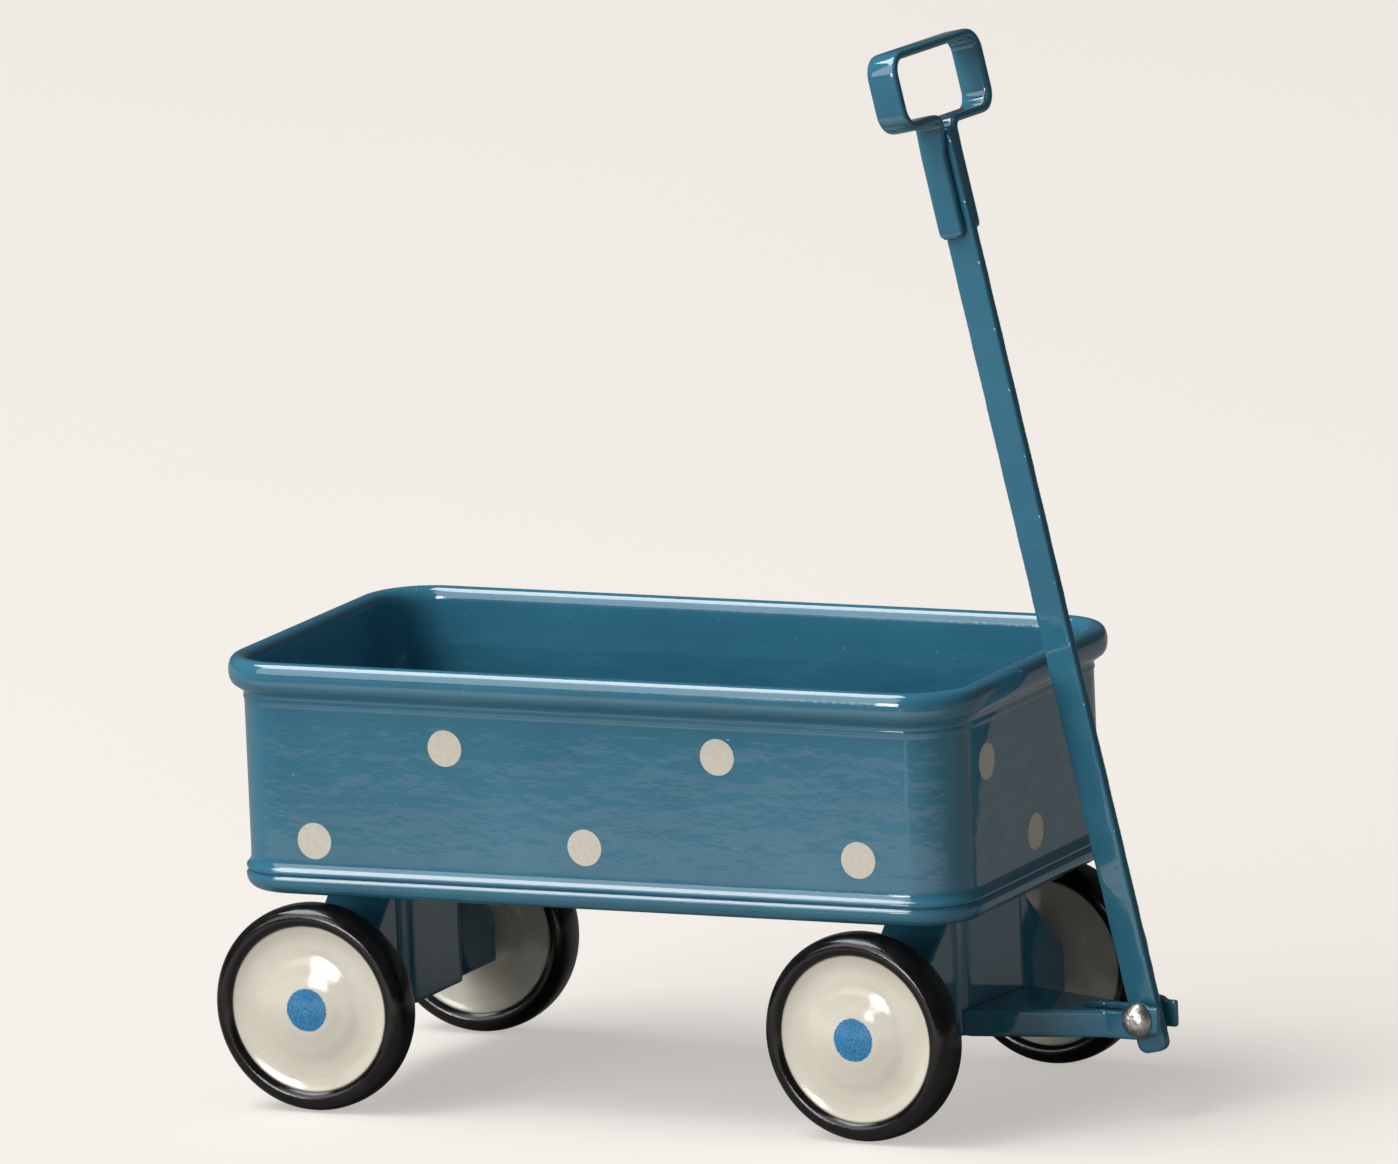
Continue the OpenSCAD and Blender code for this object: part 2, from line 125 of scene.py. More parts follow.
def wall_section():
    """Out from the wall's face, and height: up the outside, over the bead, and down the inside."""
    flare = [(-0.2, 0), (0.34, 0), (0.4, 0.05), (0.52, 0.15), (0.63, 0.3), (0.66, 0.46), (0.6, 0.6),
             (0.42, 0.8), (0.22, 1.02), (0.09, 1.3), (0.02, 1.7), (0, 2.2)]
    flare = [(out, joint_z + up) for out, up in flare]
    face = [(0, joint_z + up) for up in (4, 7, 10, 13, 16, 19, 20.6)]
    paint_line = [(0, -1.4), (0.08, -1.15), (0.15, -0.9), (0.06, -0.64), (0.07, -0.35), (0.18, -0.1),
                  (0.4, 0.1), (0.7, 0.26)]
    paint_line = [(out, bead_low_z + up) for out, up in paint_line]
    bead_middle = ((rim_out - wall_t) / 2, bead_z + 0.2)
    bead_radii = ((rim_out + wall_t) / 2, bead_half_h - 0.2)
    bead = arc(bead_middle, bead_radii, -66, 180, 32, 0.88)
    inside_top = bead_z - 0.4
    inside_h = bead_z - floor_top_z - 2.6
    inside = [(-wall_t, inside_top - inside_h * i / 8) for i in range(9)]
    fillet_r = 0.9
    fillet = arc((-wall_t - fillet_r, floor_top_z + fillet_r), (fillet_r, fillet_r), 0, -90, 8)
    foot_z = floor_top_z - 0.3
    foot = [(-wall_t - fillet_r, foot_z), (-0.3, foot_z)]
    return flare + face + paint_line + bead + inside + fillet + foot


class Nodes:
    """Adds shader nodes and links to one material."""

    def __init__(self, name):
        self.material = bpy.data.materials.new(name)
        self.material.use_nodes = True
        self.tree = self.material.node_tree
        self.shader = self.tree.nodes["Principled BSDF"]

    def add(self, kind, inputs=(), **settings):
        node = self.tree.nodes.new(kind)
        for key, value in settings.items():
            setattr(node, key, value)
        for socket, value in dict(inputs).items():
            if isinstance(value, bpy.types.NodeSocket):
                self.tree.links.new(value, node.inputs[socket])
            else:
                node.inputs[socket].default_value = value
        return node

    def noise(self, coords, per_mm, detail=2.0, rough=0.5):
        inputs = {"Vector": coords, "Scale": per_mm / MM, "Detail": detail, "Roughness": rough}
        return self.add("ShaderNodeTexNoise", inputs).outputs["Fac"]

    def combine(self, a, b, operation):
        return self.add("ShaderNodeMath", {0: a, 1: b}, operation=operation).outputs[0]

    def range(self, value, low, high, to_low, to_high):
        inputs = {"Value": value, "From Min": low, "From Max": high, "To Min": to_low, "To Max": to_high}
        return self.add("ShaderNodeMapRange", inputs).outputs["Result"]

    def mix(self, share, a, b):
        node = self.add("ShaderNodeMix", data_type="RGBA")
        for socket, value in ((0, share), (6, a), (7, b)):
            if isinstance(value, bpy.types.NodeSocket):
                self.tree.links.new(value, node.inputs[socket])
            else:
                node.inputs[socket].default_value = value
        return node.outputs[2]

    def bump(self, height, depth_mm, under=None):
        inputs = {"Height": height, "Distance": depth_mm * MM, "Strength": 1.0}
        if under is not None:
            inputs["Normal"] = under
        return self.add("ShaderNodeBump", inputs).outputs["Normal"]

    def finish(self, colour, roughness, normal):
        self.tree.links.new(colour, self.shader.inputs["Base Color"])
        self.tree.links.new(roughness, self.shader.inputs["Roughness"])
        self.tree.links.new(normal, self.shader.inputs["Normal"])
        return self.material


def blue_enamel(name, peel_mm, low_z=0.0, high_z=0.2):
    """Thick teal-blue gloss enamel: clouds of pigment, dust, and orange peel between two heights."""
    n = Nodes(name)
    at = n.add("ShaderNodeTexCoord").outputs["Object"]
    deep_teal = (0.034, 0.168, 0.258, 1)
    pale_teal = (0.042, 0.192, 0.290, 1)
    dust_grey = (0.32, 0.42, 0.46, 1)
    clouds = n.noise(at, 0.07, 4)
    colour = n.mix(n.range(clouds, 0.35, 0.65, 0, 1), deep_teal, pale_teal)
    specks = n.add("ShaderNodeTexVoronoi", {"Vector": at, "Scale": 0.55 / MM, "Randomness": 1.0})
    speck = n.range(specks.outputs["Distance"], 0.03, 0.07, 1, 0)
    rare = n.range(n.noise(at, 0.35, 1), 0.6, 0.66, 0, 0.55)
    dust = n.combine(speck, rare, "MULTIPLY")
    colour = n.mix(dust, colour, dust_grey)
    stretch = n.add("ShaderNodeVectorMath", {0: at, 1: (0.6, 0.6, 1.25)}, operation="MULTIPLY")
    peel = n.noise(stretch.outputs[0], 0.3, 3, 0.5)
    fine = n.noise(at, 1.6, 2, 0.5)
    nibs = n.add("ShaderNodeTexVoronoi", {"Vector": at, "Scale": 0.34 / MM, "Randomness": 1.0})
    nib = n.range(nibs.outputs["Distance"], 0.02, 0.055, 1, 0)
    roughness = n.range(n.noise(at, 0.12, 3), 0.3, 0.7, 0.06, 0.11)
    z = n.add("ShaderNodeSeparateXYZ", {"Vector": at}).outputs["Z"]
    above = n.range(z, low_z, low_z + 2 * MM, 0, 1)
    below = n.range(z, high_z - 2 * MM, high_z, 1, 0)
    peel = n.combine(peel, n.combine(above, below, "MULTIPLY"), "MULTIPLY")
    normal = n.bump(peel, peel_mm)
    normal = n.bump(fine, 0.006, normal)
    normal = n.bump(nib, 0.05, normal)
    normal = n.bump(dust, 0.03, normal)
    n.shader.inputs["IOR"].default_value = 1.52
    n.shader.inputs["Coat Weight"].default_value = 0.6
    n.shader.inputs["Coat Roughness"].default_value = 0.03
    return n.finish(colour, roughness, normal)


enamel = blue_enamel("blue_enamel", 0.05)
side_enamel = blue_enamel("blue_side_enamel", 0.23, (joint_z + 1.5) * MM, (bead_low_z - 0.8) * MM)
tub_wall = skin("tub_wall", [plan_ring(out, z) for out, z in wall_section()], closed=True)
tub_wall.data.materials.append(side_enamel)
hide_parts("tub_shell")
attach(tub_wall, "tub")

# ---- Floor pan ----
# A shallow tray pressed from one sheet. Its edge turns up outside the wall in a band with two fine
# ridges, and the enamel fills the joint so that wall and pan read as one surface.


def pan_rings():
    """Rings from the middle of the underside, round the edge band, to the middle of the floor."""
    low = pan_bottom_z
    edge_in, turn_w, turn_h = -1.1, 1.76, 1.7
    turn_up = arc((edge_in, low + turn_h), (turn_w, turn_h), -90, 0, 12)
    ridge = [(0.69, 1.8), (0.67, 1.93), (0.59, 2.04), (0.47, 2.18), (0.38, 2.29), (0.34, 2.38), (0.1, 2.38),
             (-0.3, 1.9)]
    band = [(out, low + up) for out, up in ridge] + [(-0.5, floor_top_z - 0.1)]
    floor = [(-1.0, floor_top_z), (-2.0, floor_top_z)]
    rings = [plan_ring(edge_in - 2, low)] + [plan_ring(out, z) for out, z in turn_up + band + floor]
    middle = Vector((tub_mid_x * MM, 0, 0))
    shares = [0.06, 0.3, 0.6, 0.85]

    def shrunk(ring, share):
        return [Vector((middle.x + (p.x - middle.x) * share, p.y * share, p.z)) for p in ring]

    under = [shrunk(rings[0], share) for share in shares]
    over = [shrunk(rings[-1], share) for share in reversed(shares)]
    return under + rings + over


pan = skin("tub_pan", pan_rings(), closed=False)
pan.data.materials.append(enamel)
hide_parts("floor_pan")
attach(pan, "tub")

# ---- Printed dots ----
# Cream spots pad-printed on the enamel of all four sides: five on each long side and three on each
# end, at listed places. Each is a thin film that stands just proud of the paint.
dot_r = 2.25
dot_film = 0.035
right_side_dots = [(-18.9, 45.8), (17.5, 46.4), (-37.0, 33.5), (-0.7, 34.4), (35.7, 34.6)]
left_side_dots = [(-18.2, 46.0), (18.2, 46.1), (-36.4, 34.3), (0.2, 34.4), (36.4, 34.3)]
end_dots = [(-13.3, 45.2), (13.3, 45.3), (0, 33.9)]


def cream_print():
    """Flat cream ink with a fine grain."""
    n = Nodes("cream_print")
    at = n.add("ShaderNodeTexCoord").outputs["Object"]
    grain = n.noise(at, 2.2, 3, 0.7)
    dull_cream = (0.63, 0.595, 0.50, 1)
    clean_cream = (0.72, 0.685, 0.585, 1)
    colour = n.mix(n.range(grain, 0.3, 0.7, 0, 1), dull_cream, clean_cream)
    roughness = n.range(grain, 0.3, 0.7, 0.32, 0.45)
    return n.finish(colour, roughness, n.bump(grain, 0.006))


def dot_places():
    """Where each dot's middle lies, in metres, and the way that its face looks."""
    places = []
    for side, side_dots in ((-1, right_side_dots), (1, left_side_dots)):
        for x, z in side_dots:
            middle = Vector((tub_mid_x + x, side * wall_half_w, z)) * MM
            places.append((middle, Vector((0, side, 0))))
        for y, z in end_dots:
            middle = Vector((tub_mid_x + side * wall_half_l, y, z)) * MM
            places.append((middle, Vector((side, 0, 0))))
    return places


def tree_input(group, name, kind, default):
    """A named input on a tree, given back by its identifier."""
    socket = group.interface.new_socket(name, in_out="INPUT", socket_type=kind)
    socket.default_value = default
    return socket.identifier


def points_object(name, places):
    """A mesh of bare points with the way each looks kept as its attribute."""
    data = bpy.data.meshes.new(name)
    data.from_pydata([p for p, _ in places], [], [])
    looks = data.attributes.new("looks", "FLOAT_VECTOR", "POINT")
    for i, (_, way) in enumerate(places):
        looks.data[i].vector = way
    holder = bpy.data.objects.new(name, data)
    bpy.context.scene.collection.objects.link(holder)
    return holder


def dots_tree(material):
    """Sets a low round film on every point, facing the way that its attribute says."""
    group = bpy.data.node_groups.new("printed_dots", "GeometryNodeTree")
    group.interface.new_socket("Geometry", in_out="INPUT", socket_type="NodeSocketGeometry")
    radius_id = tree_input(group, "Radius", "NodeSocketFloat", dot_r * MM)
    film_id = tree_input(group, "Film", "NodeSocketFloat", dot_film * MM)
    group.interface.new_socket("Geometry", in_out="OUTPUT", socket_type="NodeSocketGeometry")
    nodes, links = group.nodes, group.links
    start, end = nodes.new("NodeGroupInput"), nodes.new("NodeGroupOutput")
    disc = nodes.new("GeometryNodeMeshCylinder")
    disc.inputs["Vertices"].default_value = 64
    links.new(start.outputs["Radius"], disc.inputs["Radius"])
    links.new(start.outputs["Film"], disc.inputs["Depth"])
    looks = nodes.new("GeometryNodeInputNamedAttribute")
    looks.data_type = "FLOAT_VECTOR"
    looks.inputs["Name"].default_value = "looks"
    align = nodes.new("FunctionNodeAlignRotationToVector")
    align.axis = "Z"
    links.new(looks.outputs["Attribute"], align.inputs["Vector"])
    place = nodes.new("GeometryNodeInstanceOnPoints")
    links.new(start.outputs["Geometry"], place.inputs["Points"])
    links.new(disc.outputs["Mesh"], place.inputs["Instance"])
    links.new(align.outputs["Rotation"], place.inputs["Rotation"])
    real = nodes.new("GeometryNodeRealizeInstances")
    paint = nodes.new("GeometryNodeSetMaterial")
    paint.inputs["Material"].default_value = material
    links.new(place.outputs["Instances"], real.inputs["Geometry"])
    links.new(real.outputs["Geometry"], paint.inputs["Geometry"])
    links.new(paint.outputs["Geometry"], end.inputs["Geometry"])
    return group, {radius_id: dot_r * MM, film_id: dot_film * MM}


def grown(name, holder, group, values):
    """The plain mesh that a tree makes on a holder, which then goes."""
    modifier = holder.modifiers.new("grow", "NODES")
    modifier.node_group = group
    for identifier, value in values.items():
        modifier[identifier] = value
    bpy.context.view_layer.update()
    graph = bpy.context.evaluated_depsgraph_get()
    data = bpy.data.meshes.new_from_object(holder.evaluated_get(graph))
    data.name = name
    bpy.data.objects.remove(holder)
    piece = bpy.data.objects.new(name, data)
    bpy.context.scene.collection.objects.link(piece)
    return piece


dots = grown("printed_dots", points_object("dot_points", dot_places()), *dots_tree(cream_print()))
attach(dots, "tub")

# ---- Axle brackets ----
# Two deep pressings, open below, with wings that the axles run through and a raised middle. The rear
# one is riveted to the pan and the front one hangs on the king rivet and steers. Enamel rounds them.


def coated(node, name, material, cell, passes):
    """A copy of a pressed piece under its paint: even fine faces, with edges and inner corners rounded."""
    data = frame["nodes"][node].data.copy()
    data.name = name
    piece = bpy.data.objects.new(name, data)
    bpy.context.scene.collection.objects.link(piece)
    mesh = bmesh.new()
    mesh.from_mesh(data)
    bmesh.ops.remove_doubles(mesh, verts=mesh.verts, dist=1e-6)
    mesh.to_mesh(data)
    mesh.free()
    remesh = piece.modifiers.new("even", "REMESH")
    remesh.mode = "VOXEL"
    remesh.voxel_size = cell * MM
    remesh.use_smooth_shade = True
    soften = piece.modifiers.new("soften", "SMOOTH")
    soften.factor = 0.5
    soften.iterations = passes
    bpy.context.view_layer.update()
    graph = bpy.context.evaluated_depsgraph_get()
    fine = bpy.data.meshes.new_from_object(piece.evaluated_get(graph))
    fine.name = name
    fine.materials.clear()
    fine.materials.append(material)
    piece.modifiers.clear()
    piece.data = fine
    return piece


for node, body in (("rear_bracket", "tub"), ("front_bracket", "truck")):
    bracket = coated(node, node + "_painted", enamel, 0.22, 14)
    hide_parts(node)
    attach(bracket, body)

# ---- Tongue ----
# A tapered channel, open below, welded to the front bracket. Its two ears take the handle's rivet.
tongue = coated("tongue", "tongue_painted", enamel, 0.15, 22)
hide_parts("tongue")
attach(tongue, "truck")

# ---- Handle bar ----
# A flat bar on a rivet between the tongue's ears. Its corners are filed round and the enamel is thick.
bar = coated("handle_bar", "handle_bar_painted", enamel, 0.15, 22)
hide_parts("handle_bar")
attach(bar, "handle")

# ---- Grip ----
# One steel strap bent by hand into a loop. Its two legs, filed narrower and round-ended, lie on the
# bar's faces, where they are soldered. The near leg sits a little behind the bar's middle.
hinge = next(j for j in frame["joints"] if j["name"] == "handle_lower")
rivet_at = Vector(hinge["pos_m"]) / MM
rivet_way = Vector(hinge["axis"]).normalized()
handle_lean = math.radians(12.7)
forward = rivet_way.cross(Vector((0, 0, 1)))
bar_way = Vector((0, 0, 1)) * math.cos(handle_lean) - forward * math.sin(handle_lean)
bar_front = forward * math.cos(handle_lean) + Vector((0, 0, 1)) * math.sin(handle_lean)
strap_w, strap_t = 4.0, 1.15
leg_y = 1.27
near_leg_end, far_leg_end = 96.9, 97.3
leg_top = 112.2


def grip_path():
    """The strap's middle line, across the handle and up the bar, from one leg's end to the other's."""
    near_y, far_y, top, corner = -9.5, 11.0, 120.25, 2.3
    near_z, far_z, bend = 111.5, 110.9, 1.3
    near_leg = near_z - bend - near_leg_end
    far_leg = far_z - bend - far_leg_end
    points = [(-leg_y, near_leg_end + near_leg * i / 30) for i in range(30)]
    points += arc((-leg_y - bend, near_z - bend), (bend, bend), 0, 90, 8)
    points += arc((near_y + corner, near_z + corner), (corner, corner), 270, 180, 10)
    points += arc((near_y + corner, top - corner), (corner, corner), 180, 90, 10)
    points += arc((far_y - corner, top - corner), (corner, corner), 90, 0, 10)
    points += arc((far_y - corner, far_z + corner), (corner, corner), 0, -90, 10)
    points += arc((leg_y + bend, far_z - bend), (bend, bend), 90, 180, 8)
    points += [(leg_y, far_z - bend - far_leg * i / 30) for i in range(1, 31)]
    return points


def strap_rings():
    """Rounded sections square to the path, narrower along the legs and rounded off at both ends."""
    path = grip_path()
    rings = []
    for i, (y, z) in enumerate(path):
        before, after = path[max(i - 1, 0)], path[min(i + 1, len(path) - 1)]
        run = math.hypot(after[0] - before[0], after[1] - before[1])
        out_y, out_z = (after[1] - before[1]) / run, -(after[0] - before[0]) / run
        on_leg = min(max((leg_top - z) / 5, 0), 1) if abs(y) < 3.5 else 0
        near = y < 0
        width = strap_w - (0.7 if near else 0.5) * on_leg
        shift = (-0.55 if near else 0.1) * on_leg
        from_end = min(i, len(path) - 1 - i) * 0.45
        share = 0.66 + 0.34 * math.sqrt(1 - (1 - min(from_end, 1)) ** 2)
        half_size = (width / 2 * share, strap_t / 2 * (0.2 + 0.8 * share))
        ring = []
        for across, thick in arc((0, 0), half_size, 0, 345, 23, 0.45):
            place = rivet_at + rivet_way * (y + out_y * thick) + bar_way * (z + out_z * thick)
            ring.append((place + bar_front * (shift + across)) * MM)
        rings.append(ring)
    return rings


grip = skin("grip_strap_painted", strap_rings(), closed=False)
grip.data.materials.append(enamel)
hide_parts("grip_strap")
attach(grip, "handle")

# ---- Handle rivet ----
# A solid rivet of bare steel through both ears and the bar, with low domed heads left by the hammer.
rivet_head_r = 2.15
rivet_head_h = 1.1
shank_r = 1.0
ears_half_w = 2.75
face_map_w = 40.0


def turned(name, profile, centre, axis):
    """Turns a closed profile of (radius, along) in millimetres about an axis through centre.

    Its UV map "face" is a flat view down the axis, face_map_w wide."""
    way = axis.normalized()
    side = way.cross(Vector((0, 0, 1))).normalized()
    up = side.cross(way)
    steps = 96
    rings = []
    for i in range(steps):
        angle = 2 * math.pi * i / steps
        spoke = side * math.cos(angle) + up * math.sin(angle)
        rings.append([(centre + spoke * r + way * along) * MM for r, along in profile])
    piece = skin(name, rings, closed=True)
    face_map = piece.data.uv_layers.new(name="face")
    for loop in piece.data.loops:
        v = piece.data.vertices[loop.vertex_index].co / MM - centre
        face_map.data[loop.index].uv = (0.5 + v.dot(side) / face_map_w, 0.5 + v.dot(up) / face_map_w)
    return piece


def bare_steel():
    """Grey bare steel, hammered and a little smudged."""
    n = Nodes("bare_steel")
    at = n.add("ShaderNodeTexCoord").outputs["Object"]
    blows = n.noise(at, 1.1, 3, 0.6)
    grain = n.noise(at, 6, 2, 0.6)
    dull_steel = (0.5, 0.49, 0.47, 1)
    bright_steel = (0.86, 0.85, 0.83, 1)
    colour = n.mix(n.range(blows, 0.35, 0.65, 0, 1), dull_steel, bright_steel)
    roughness = n.range(grain, 0.3, 0.7, 0.28, 0.45)
    n.shader.inputs["Metallic"].default_value = 1.0
    return n.finish(colour, roughness, n.bump(grain, 0.012, n.bump(blows, 0.12)))


steel = bare_steel()


def rivet_profile():
    """Two low domed heads and the shank between them, down the rivet's axis and closed on it."""
    shares = [1 - i / 16 for i in range(16)]
    outer = [(rivet_head_r * share, ears_half_w + rivet_head_h * (1 - share ** 4)) for share in shares]
    outer.append((0.001, outer[-1][1]))
    near_head = list(reversed(outer))
    shank = [(shank_r, ears_half_w), (shank_r, -ears_half_w)]
    far_head = [(r, -along) for r, along in outer]
    return near_head + shank + far_head


rivet = turned("handle_rivet_steel", rivet_profile(), rivet_at, rivet_way)
rivet.data.materials.append(steel)
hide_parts("handle_rivet")
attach(rivet, "truck")

# ---- Wheels ----
# Each has a moulded black tyre, gripped between a domed outer disc and a shallower inner one, both
# of pressed sheet in cream enamel. A blue spot is screen-printed on the crown of the outer disc.
tyre_r, tyre_w, disc_r = 12.8, 5.2, 10.3
disc_dome, inner_dome, disc_t, crown = 1.3, 0.9, 0.5, 5.4
spot_r = 2.66


def tyre_black():
    """Glossy black moulded rubber, faintly scuffed on the tread."""
    n = Nodes("tyre_black")
    at = n.add("ShaderNodeTexCoord").outputs["Object"]
    haze = n.noise(at, 0.5, 4, 0.6)
    grain = n.noise(at, 3.0, 2, 0.5)
    black = (0.004, 0.0035, 0.0035, 1)
    dusty_black = (0.009, 0.008, 0.008, 1)
    colour = n.mix(n.range(haze, 0.35, 0.7, 0, 1), black, dusty_black)
    roughness = n.range(haze, 0.3, 0.7, 0.1, 0.22)
    return n.finish(colour, roughness, n.bump(grain, 0.008, n.bump(haze, 0.03)))


def disc_enamel(printed):
    """Cream gloss enamel over a spun disc with faint rings, with or without the printed blue spot."""
    n = Nodes("cream_enamel_printed" if printed else "cream_enamel")
    uv = n.add("ShaderNodeUVMap", uv_map="face").outputs["UV"]
    centred = n.add("ShaderNodeVectorMath", {0: uv, 1: (0.5, 0.5, 0)}, operation="SUBTRACT").outputs[0]
    span = n.add("ShaderNodeVectorMath", {0: centred}, operation="LENGTH").outputs["Value"]
    radius = n.combine(span, face_map_w, "MULTIPLY")
    at = n.add("ShaderNodeTexCoord").outputs["Object"]
    grain = n.noise(at, 3.2, 3, 0.7)
    clouds = n.noise(at, 0.16, 3)
    warm_cream = (0.76, 0.715, 0.605, 1)
    light_cream = (0.82, 0.775, 0.665, 1)
    speckle = (0.67, 0.63, 0.53, 1)
    painted_groove_shade = (0.30, 0.27, 0.21, 1)
    cream = n.mix(n.range(clouds, 0.35, 0.65, 0, 1), warm_cream, light_cream)
    colour = n.mix(n.range(grain, 0.35, 0.7, 0, 0.35), cream, speckle)
    waves = n.combine(radius, 2.6, "MULTIPLY")
    rings = n.add("ShaderNodeMath", {0: waves}, operation="SINE").outputs[0]
    if printed:
        deep_ink = (0.016, 0.155, 0.36, 1)
        thin_ink = (0.04, 0.25, 0.50, 1)
        ragged = n.combine(radius, n.range(n.noise(at, 3.5, 1), 0.3, 0.7, -0.06, 0.06), "ADD")
        ink = n.range(ragged, spot_r - 0.06, spot_r + 0.06, 1, 0)
        stipple = n.add("ShaderNodeTexVoronoi", {"Vector": at, "Scale": 3.3 / MM}).outputs["Distance"]
        blue = n.mix(n.range(stipple, 0.25, 0.6, 0, 1), deep_ink, thin_ink)
        colour = n.mix(ink, colour, blue)
    # Painted shade: the disc darkens over its outer 0.3 mm, in the groove under the tyre's lip.
    edge = n.range(radius, disc_r - 0.3, disc_r, 0, 0.5)
    colour = n.mix(edge, colour, painted_groove_shade)
    roughness = n.range(grain, 0.3, 0.7, 0.06, 0.12)
    normal = n.bump(rings, 0.014, n.bump(clouds, 0.035))
    n.shader.inputs["Coat Weight"].default_value = 0.4
    n.shader.inputs["Coat Roughness"].default_value = 0.04
    return n.finish(colour, roughness, n.bump(grain, 0.005, normal))


def tyre_profile():
    """Round shoulders, a slightly crowned tread, and a raised edge round each disc."""
    half = tyre_w / 2
    crest_r, crest = disc_r + 0.95, half + 0.12
    tread_half, lip_h = 0.45, 0.75
    shoulder = arc((crest_r, tread_half), (tyre_r - 0.03 - crest_r, crest - tread_half), 0, 90, 14, 0.9)
    lip = arc((crest_r, crest - lip_h), (1.0, lip_h), 90, 180, 8)[1:]
    behind_disc = [(disc_r - 0.12, half - 1.1), (disc_r - 1.0, half - 1.9)]
    upper = shoulder + lip + behind_disc
    tread = [(tyre_r, 0)]
    lower = [(r, -a) for r, a in reversed(upper)]
    return [(r, a + half) for r, a in lower + tread + upper]


def disc_profile(face, dome, way):
    """A thin disc with a domed middle at face and a dished edge that rises to the tyre."""
    boss_r, axis_r, steps = 5.6, 0.001, 40
    steepest = 0.155 * dome
    top, fall = [], 0
    for i in range(steps + 1):
        r = axis_r + (disc_r - axis_r) * i / steps
        top.append((r, face - way * fall))
        if r < boss_r:
            slope = steepest * math.sin(math.pi / 2 * r / boss_r)
        else:
            slope = steepest * math.cos(math.pi * (r - boss_r) / (disc_r - boss_r))
        fall += slope * disc_r / steps
    under = [(r, along - way * disc_t) for r, along in reversed(top)]
    edge_r, edge = disc_r + 0.14, top[-1][1]
    roll = [(edge_r, edge - way * disc_t * 0.3), (edge_r, edge - way * disc_t * 0.7)]
    return top + roll + under


black = tyre_black()
outer_cream = disc_enamel(True)
inner_cream = disc_enamel(False)
for corner in ("rear_left", "rear_right", "front_left", "front_right"):
    end, hand = corner.split("_")
    spin = next(j for j in frame["joints"] if j["name"] == end + "_wheels_turn")
    low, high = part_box("tyre_" + corner)
    side = 1 if hand == "left" else -1
    way = Vector(spin["axis"]).normalized() * side
    inner_face = (low + high) / 2 / MM - way * tyre_w / 2
    body = end + "_wheelset"
    parts = [("tyre_", tyre_profile(), black, "tyre"),
             ("outer_disc_", disc_profile(crown, disc_dome, 1), outer_cream, "wheel_enamel"),
             ("inner_disc_", disc_profile(0, inner_dome, -1), inner_cream, "wheel_enamel")]
    for stem, profile, material, slot in parts:
        piece = turned(stem + corner + "_finished", profile, inner_face, way)
        piece.data.materials.append(material)
        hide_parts(stem + corner)
        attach(piece, body)

# ---- Axles, washers, hubs and hidden rivets ----
# Plain steel rods, turned washers and spools, and the rivets that hold the brackets and the truck.
for node in ("rear_axle", "front_axle", "rear_washers", "front_washers", "king_washer",
             "hub_rear_left", "hub_rear_right", "hub_front_left", "hub_front_right"):
    frame["nodes"][node].data.materials.clear()
    frame["nodes"][node].data.materials.append(steel)
for node in ("bracket_rivets", "king_rivet"):
    frame["nodes"][node].data.materials.clear()
    frame["nodes"][node].data.materials.append(enamel)

# ---- Floor and light ----
# A plain warm white sweep that glows a little for the camera, so that shadows stay pale, with a broad
# soft light overhead, a dimmer tall one at the left and a small bright one low in front. The wagon
# meets another sweep than the camera: gloss mirrors mostly the paper near it, a painted reflection with
# a bright pool and a white strip in front of the wagon, and less light bounces up.
paper = (0.863, 0.823, 0.776, 1)


def tint(share):
    """The paper's colour at a share of its brightness."""
    return tuple(channel * share for channel in paper[:3]) + (1,)


def sweep_material():
    """Matt warm white paper, darker where gloss mirrors it from afar and where light bounces off it. Gloss
    also sees painted reflections: a bright pool and a white strip in front of the wagon.
    """
    n = Nodes("warm_white_sweep")
    at = n.add("ShaderNodeTexCoord").outputs["Object"]
    haze = n.noise(at, 0.004, 2)
    ray = n.add("ShaderNodeLightPath").outputs
    lit = n.mix(haze, tint(0.49), tint(0.51))
    from_middle = n.add("ShaderNodeVectorMath", {0: at}, operation="LENGTH").outputs["Value"]
    place = n.add("ShaderNodeSeparateXYZ", {"Vector": at}).outputs
    x, y = place["X"], place["Y"]
    # Painted reflection: for gloss the paper is a bright pool in front of the wagon, darker further off and
    # behind it.
    painted_reflection_pool = n.mix(n.range(from_middle, 0.19, 0.26, 0, 1), tint(1.1), tint(0.2))
    mirrored = n.mix(n.range(y, -0.12, -0.05, 0, 1), painted_reflection_pool, tint(0.32))
    # Painted reflection: a narrow white strip of paper in front of the wagon, seen only by gloss, puts a
    # bright band in the tub's near corner.
    left_edge = n.range(x, -0.012, -0.004, 0, 1)
    right_edge = n.range(x, 0.01, 0.022, 1, 0)
    near_end = n.range(y, -0.16, -0.1, 1, 0)
    painted_glint_strip = n.combine(n.combine(left_edge, right_edge, "MULTIPLY"), near_end, "MULTIPLY")
    mirrored = n.mix(painted_glint_strip, mirrored, (1, 1, 1, 1))
    colour = n.mix(ray["Is Glossy Ray"], n.mix(ray["Is Diffuse Ray"], lit, tint(0.38)), mirrored)
    glow = n.range(ray["Is Camera Ray"], 0, 1, 0, 0.55)
    n.tree.links.new(glow, n.shader.inputs["Emission Strength"])
    n.shader.inputs["Emission Color"].default_value = paper
    n.shader.inputs["Specular IOR Level"].default_value = 0.1
    return n.finish(colour, n.range(haze, 0.3, 0.7, 0.85, 0.95), n.bump(haze, 0.1))


floor_data = bpy.data.meshes.new("floor")
reach = 30.0
floor_corners = [(-reach, -reach, 0), (reach, -reach, 0), (reach, reach, 0), (-reach, reach, 0)]
floor_data.from_pydata(floor_corners, [], [(0, 1, 2, 3)])
floor = bpy.data.objects.new("floor", floor_data)
floor_data.materials.append(sweep_material())
bpy.context.scene.collection.objects.link(floor)


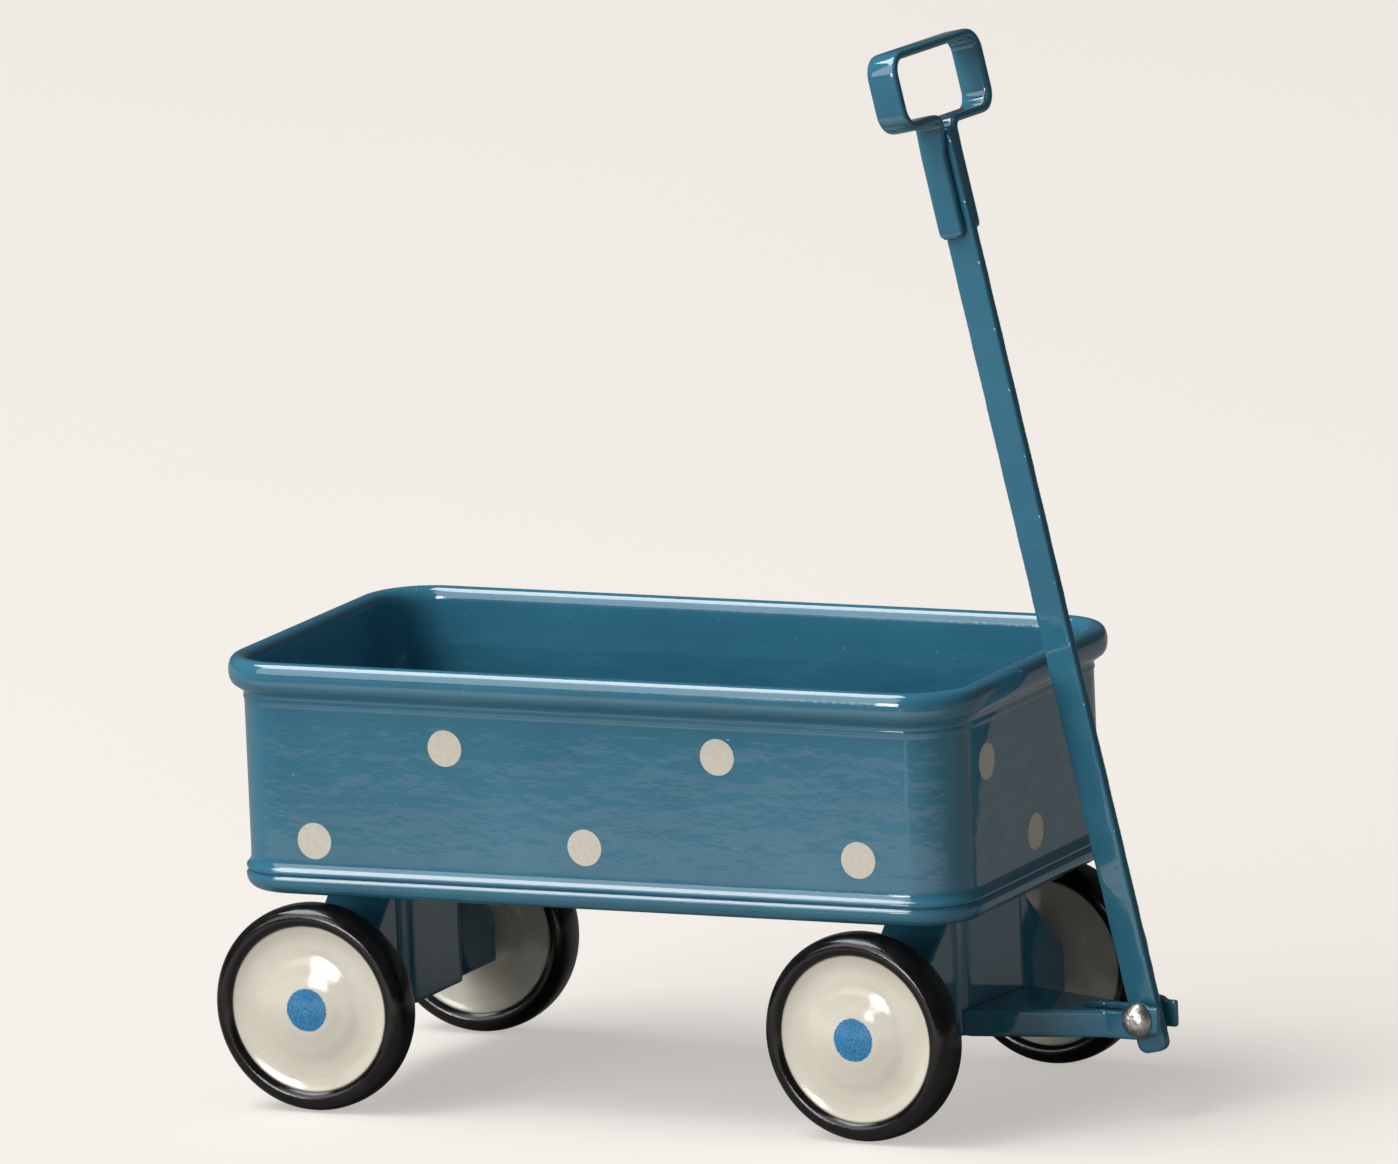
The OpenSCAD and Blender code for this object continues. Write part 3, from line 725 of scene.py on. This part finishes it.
def soft_light(name, direction, distance, size, radiance):
    """A rectangular soft light that faces the wagon and is not seen itself."""
    place = Vector(direction).normalized() * distance
    data = bpy.data.lights.new(name, "AREA")
    data.shape = "RECTANGLE"
    data.size, data.size_y = size
    data.energy = radiance * math.pi * size[0] * size[1]
    lamp = bpy.data.objects.new(name, data)
    aim = (-place).to_track_quat("-Z", "Y").to_matrix().to_4x4()
    lamp.matrix_world = Matrix.Translation(place) @ aim
    lamp.visible_camera = False
    bpy.context.scene.collection.objects.link(lamp)


soft_light("overhead", (-0.42, -0.19, 0.89), 3.2, (2.0, 1.7), 8)
soft_light("left", (-0.45, -0.73, 0.5), 3.0, (1.9, 2.3), 2.35)
soft_light("window", (-0.27, -0.95, 0.17), 3.0, (0.8, 0.7), 12)

world = bpy.data.worlds.new("studio")
bpy.context.scene.world = world
world.use_nodes = True
room = world.node_tree.nodes["Background"]
room.inputs["Color"].default_value = (1.0, 0.985, 0.965, 1)
seen = world.node_tree.nodes.new("ShaderNodeLightPath")
level = world.node_tree.nodes.new("ShaderNodeMapRange")
level.inputs["To Min"].default_value = 0.14
level.inputs["To Max"].default_value = 0.06
world.node_tree.links.new(seen.outputs["Is Glossy Ray"], level.inputs["Value"])
world.node_tree.links.new(level.outputs["Result"], room.inputs["Strength"])
bpy.context.scene.view_settings.view_transform = "Standard"

# ---- Camera ----
# Three-quarter view of the near side and front end, a long lens from a little above, slightly rolled.
azimuth, elevation, roll = math.radians(25.4), math.radians(10.9), math.radians(-2.44)
target = Vector((-2.985, 0, 62.7)) * MM
distance = 2.995
level_back = Vector((math.sin(azimuth), -math.cos(azimuth), 0))
back = level_back * math.cos(elevation) + Vector((0, 0, math.sin(elevation)))
right = Vector((math.cos(azimuth), math.sin(azimuth), 0))
up = back.cross(right)
right, up = right * math.cos(roll) + up * math.sin(roll), up * math.cos(roll) - right * math.sin(roll)
camera_data = bpy.data.cameras.new("camera")
camera_data.sensor_width = 36
camera_data.lens = 635.6
camera_data.clip_end = 100
camera = bpy.data.objects.new("camera", camera_data)
view = Matrix((right, up, back)).transposed().to_4x4()
camera.matrix_world = Matrix.Translation(target + back * distance) @ view
bpy.context.scene.collection.objects.link(camera)
bpy.context.scene.camera = camera
